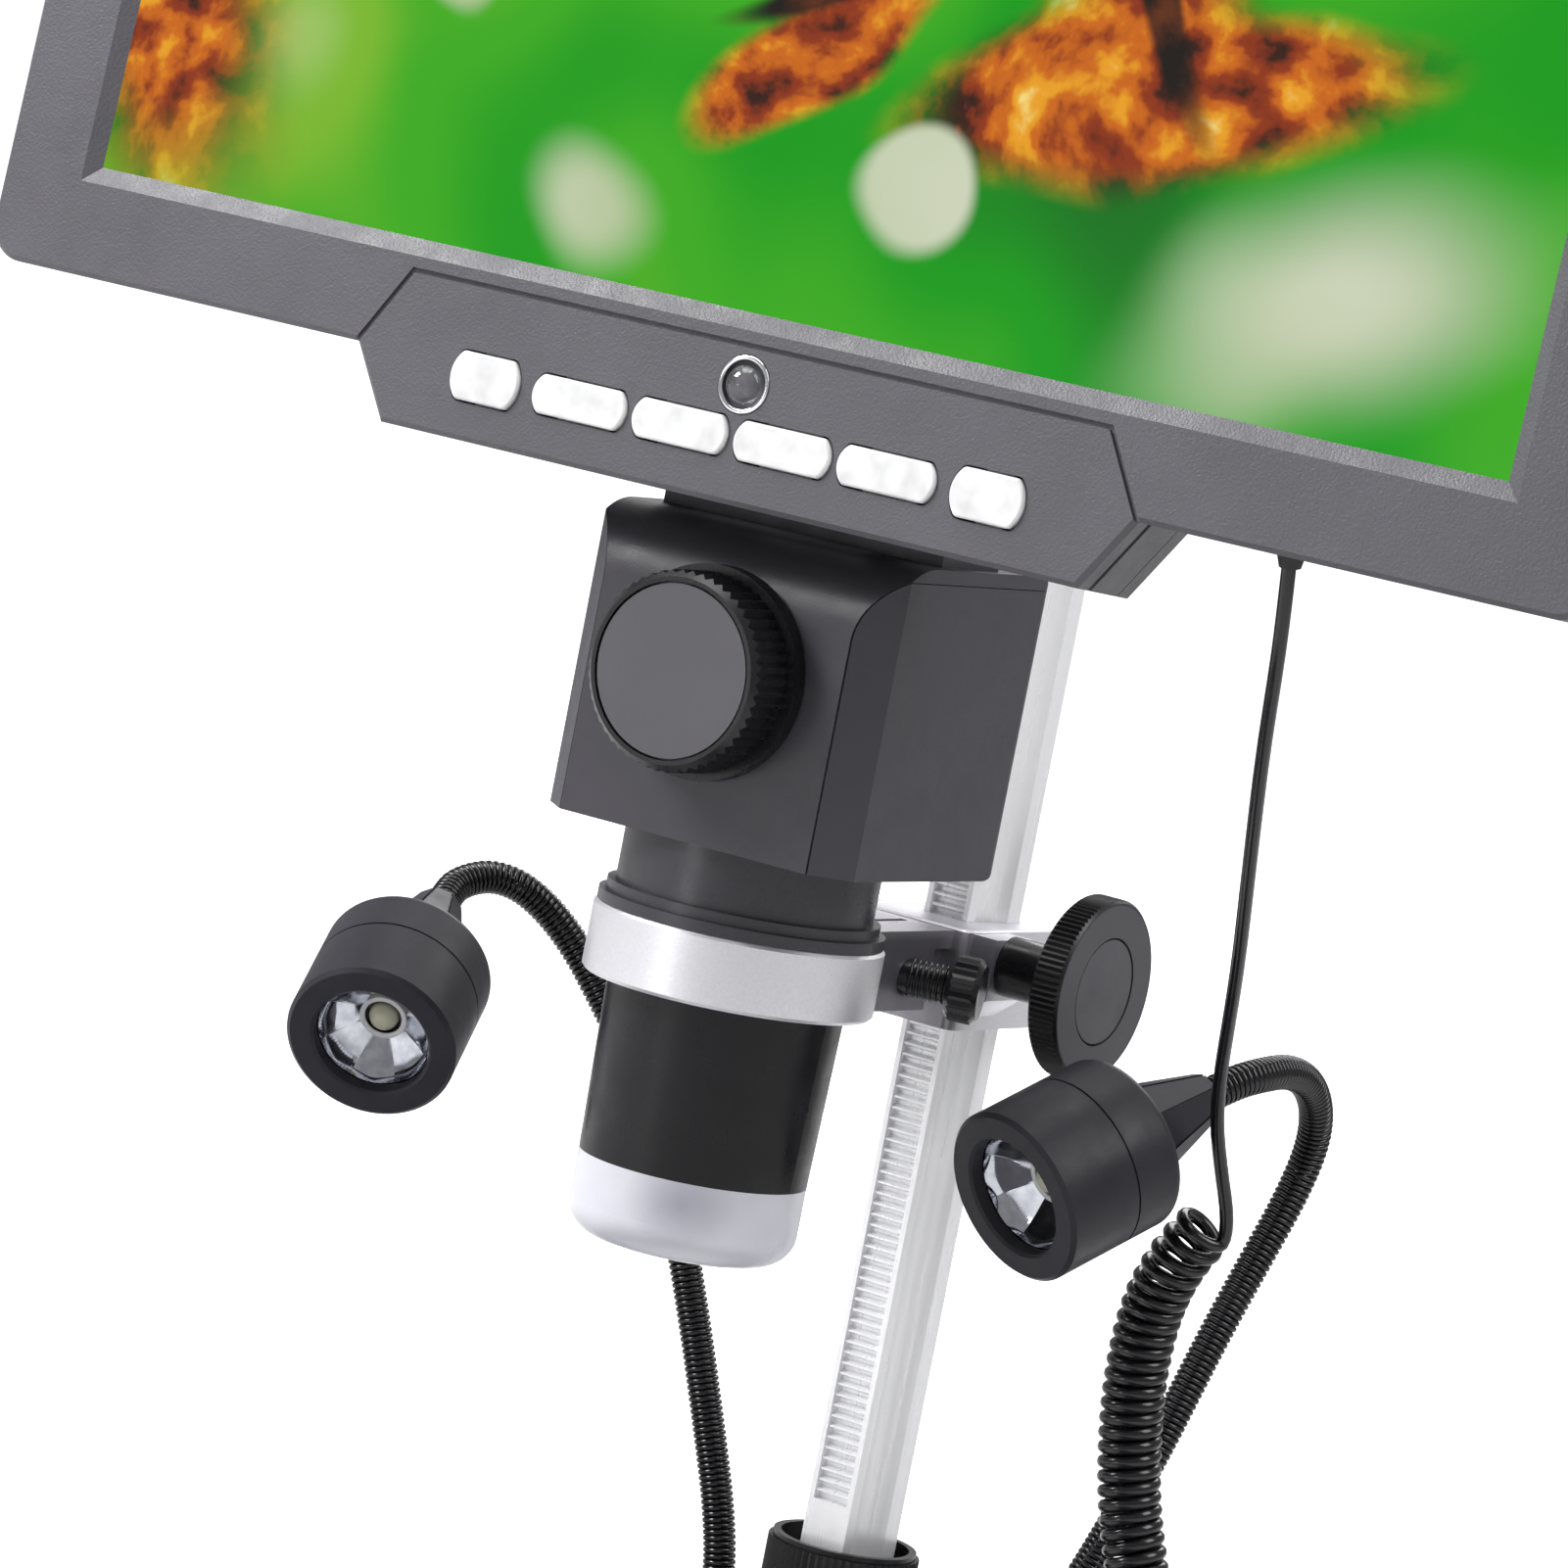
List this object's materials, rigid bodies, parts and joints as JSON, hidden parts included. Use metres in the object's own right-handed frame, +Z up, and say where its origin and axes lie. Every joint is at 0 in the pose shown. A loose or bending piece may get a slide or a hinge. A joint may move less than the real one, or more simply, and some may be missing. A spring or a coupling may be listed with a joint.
{
  "type": "lcd digital microscope",
  "caption": "Digital microscope with a wide tilting screen on a rack and pinion column, ring clamp, focus knob, frosted nose cap, gooseneck lamps and a coiled cord.",
  "frame": {"origin": "where the optical axis of the scope meets the table, on the plane under the feet, in the middle of the whole box seen from above", "axes": "+Z up along the optical axis, -Y to the front where the screen faces, +X to the right of someone facing the screen"},
  "size_m": [0.2548, 0.1946, 0.3639],
  "materials": {
    "case_plastic": "fine grained dark grey",
    "cover_plastic": "smooth dark grey",
    "black_plastic": "satin black",
    "silver_alloy": "satin",
    "column_alloy": "bright satin, drawn",
    "black_alloy": "anodised black",
    "lamp_black": "satin black",
    "neck_black": "corrugated, satin black",
    "steel": "turned",
    "frosted_plastic": "frosted, see-through at the rim",
    "clear_glass": "clear",
    "screen_glass": "gloss, picture shown when lit",
    "pearl_plastic": "pearly white",
    "dark_window": "dark gloss",
    "board_green": "lacquered circuit board",
    "led_board": "white lacquered board with yellow light source",
    "cell_foil": "silver foil",
    "rubber": "matt",
    "cord_rubber": "gloss black",
    "stage_white": "white"
  },
  "bodies": {
    "stand": {"base_plate": "case_plastic", "base_bottom_cover": "cover_plastic", "rubber_feet": "rubber", "base_screws": "steel", "stage_insert": "stage_white", "lamp_driver_board": "board_green", "cord_gland": "rubber", "column": "column_alloy", "column_cap": "cover_plastic", "neck_sockets": "black_plastic", "cord_tail": "cord_rubber", "cord_coil": "cord_rubber", "cord_lead": "cord_rubber"},
    "collar": {"collar_nut": "black_alloy"},
    "carriage": {"carriage_arm": "silver_alloy", "shaft_hubs": "black_plastic"},
    "height_drive": {"pinion_shaft": "steel", "height_knob_right": "black_plastic", "height_knob_left": "black_plastic", "height_knob_discs": "black_plastic"},
    "thumbscrew": {"clamp_thumbscrew": "black_plastic"},
    "scope": {"barrel_tube": "black_plastic", "upper_tube": "black_plastic", "frosted_cap": "frosted_plastic", "led_ring_board": "led_board", "housing_shell": "case_plastic", "housing_front_cover": "cover_plastic", "sensor_board": "board_green", "hinge_bracket": "cover_plastic", "hinge_pin": "steel"},
    "focus_drive": {"focus_shaft": "steel", "focus_knob": "black_plastic", "focus_knob_disc": "black_plastic"},
    "lens": {"lens_cell": "black_alloy", "lens_glass": "clear_glass"},
    "display": {"front_bezel": "case_plastic", "lcd_panel": "screen_glass", "mid_frame": "case_plastic", "rear_cover": "case_plastic", "main_board": "board_green", "battery": "cell_foil", "keypad_board": "board_green", "ir_window": "dark_window", "display_screws": "steel", "cord_boot": "rubber"},
    "dimmer": {"dimmer_knob": "black_plastic"},
    "lamp_left": {"gooseneck_left": "neck_black", "lamp_head_left": "lamp_black", "lamp_lens_left": "clear_glass", "lamp_led_left": "led_board"},
    "lamp_right": {"gooseneck_right": "neck_black", "lamp_head_right": "lamp_black", "lamp_lens_right": "clear_glass", "lamp_led_right": "led_board"},
    "power_key": {"power_button": "pearl_plastic"},
    "menu_key": {"menu_button": "pearl_plastic"},
    "up_key": {"up_button": "pearl_plastic"},
    "down_key": {"down_button": "pearl_plastic"},
    "ok_key": {"ok_button": "pearl_plastic"},
    "capture_key": {"capture_button": "pearl_plastic"}
  },
  "joints": [
    {"name": "collar_turn", "type": "hinge", "parent": "stand", "child": "collar", "pos_m": [0, 0.0616, 0.034], "axis": [0, 0, 1], "range_deg": [0, 360]},
    {"name": "height_slide", "type": "slide", "parent": "stand", "child": "carriage", "axis": [0, 0, 1], "range_m": [-0.055, 0.045], "deforming": ["cord_lead"]},
    {"name": "height_turn", "type": "hinge", "parent": "carriage", "child": "height_drive", "pos_m": [0, 0.05275, 0.1382], "axis": [1, 0, 0], "range_deg": [-862, 1053]},
    {"name": "thumbscrew_turn", "type": "hinge", "parent": "carriage", "child": "thumbscrew", "pos_m": [0.0068, 0.036, 0.1354], "axis": [0.9336, 0.3584, 0], "range_deg": [0, 360]},
    {"name": "scope_swivel", "type": "hinge", "parent": "carriage", "child": "scope", "pos_m": [0, 0, 0.137], "axis": [0, 0, 1], "range_deg": [-45, 45], "deforming": ["cord_lead"]},
    {"name": "focus_turn", "type": "hinge", "parent": "scope", "child": "focus_drive", "pos_m": [0, -0.0195, 0.1763], "axis": [0, 1, 0], "range_deg": [-90, 90]},
    {"name": "lens_slide", "type": "slide", "parent": "scope", "child": "lens", "axis": [0, 0, 1], "range_m": [-0.004, 0.004]},
    {"name": "screen_tilt", "type": "hinge", "parent": "scope", "child": "display", "pos_m": [0, 0.00381, 0.20495], "axis": [1, 0, 0], "range_deg": [-30, 4], "deforming": ["cord_lead"]},
    {"name": "dimmer_turn", "type": "hinge", "parent": "stand", "child": "dimmer", "pos_m": [0.07, 0.09, 0.008], "axis": [0, 1, 0], "range_deg": [-135, 135]},
    {"name": "left_lamp_swivel", "type": "hinge", "parent": "stand", "child": "lamp_left", "pos_m": [-0.025, 0.0724, 0.022], "axis": [0, 0, 1], "range_deg": [-30, 12]},
    {"name": "right_lamp_swivel", "type": "hinge", "parent": "stand", "child": "lamp_right", "pos_m": [0.025, 0.0724, 0.022], "axis": [0, 0, 1], "range_deg": [-5, 0]},
    {"name": "power_press", "type": "slide", "parent": "display", "child": "power_key", "axis": [0, 0.9976, -0.0698], "range_m": [0, 0.0005], "stiffness_N_per_m": 600, "springref_m": -0.0008},
    {"name": "menu_press", "type": "slide", "parent": "display", "child": "menu_key", "axis": [0, 0.9976, -0.0698], "range_m": [0, 0.0005], "stiffness_N_per_m": 600, "springref_m": -0.0008},
    {"name": "up_press", "type": "slide", "parent": "display", "child": "up_key", "axis": [0, 0.9976, -0.0698], "range_m": [0, 0.0005], "stiffness_N_per_m": 600, "springref_m": -0.0008},
    {"name": "down_press", "type": "slide", "parent": "display", "child": "down_key", "axis": [0, 0.9976, -0.0698], "range_m": [0, 0.0005], "stiffness_N_per_m": 600, "springref_m": -0.0008},
    {"name": "ok_press", "type": "slide", "parent": "display", "child": "ok_key", "axis": [0, 0.9976, -0.0698], "range_m": [0, 0.0005], "stiffness_N_per_m": 600, "springref_m": -0.0008},
    {"name": "capture_press", "type": "slide", "parent": "display", "child": "capture_key", "axis": [0, 0.9976, -0.0698], "range_m": [0, 0.0005], "stiffness_N_per_m": 600, "springref_m": -0.0008}
  ],
  "couplings": [
    {"joint": "height_turn", "follows": "height_slide", "rad_per_m": -333.33},
    {"joint": "lens_slide", "follows": "focus_turn", "m_per_rad": -0.0025}
  ]
}
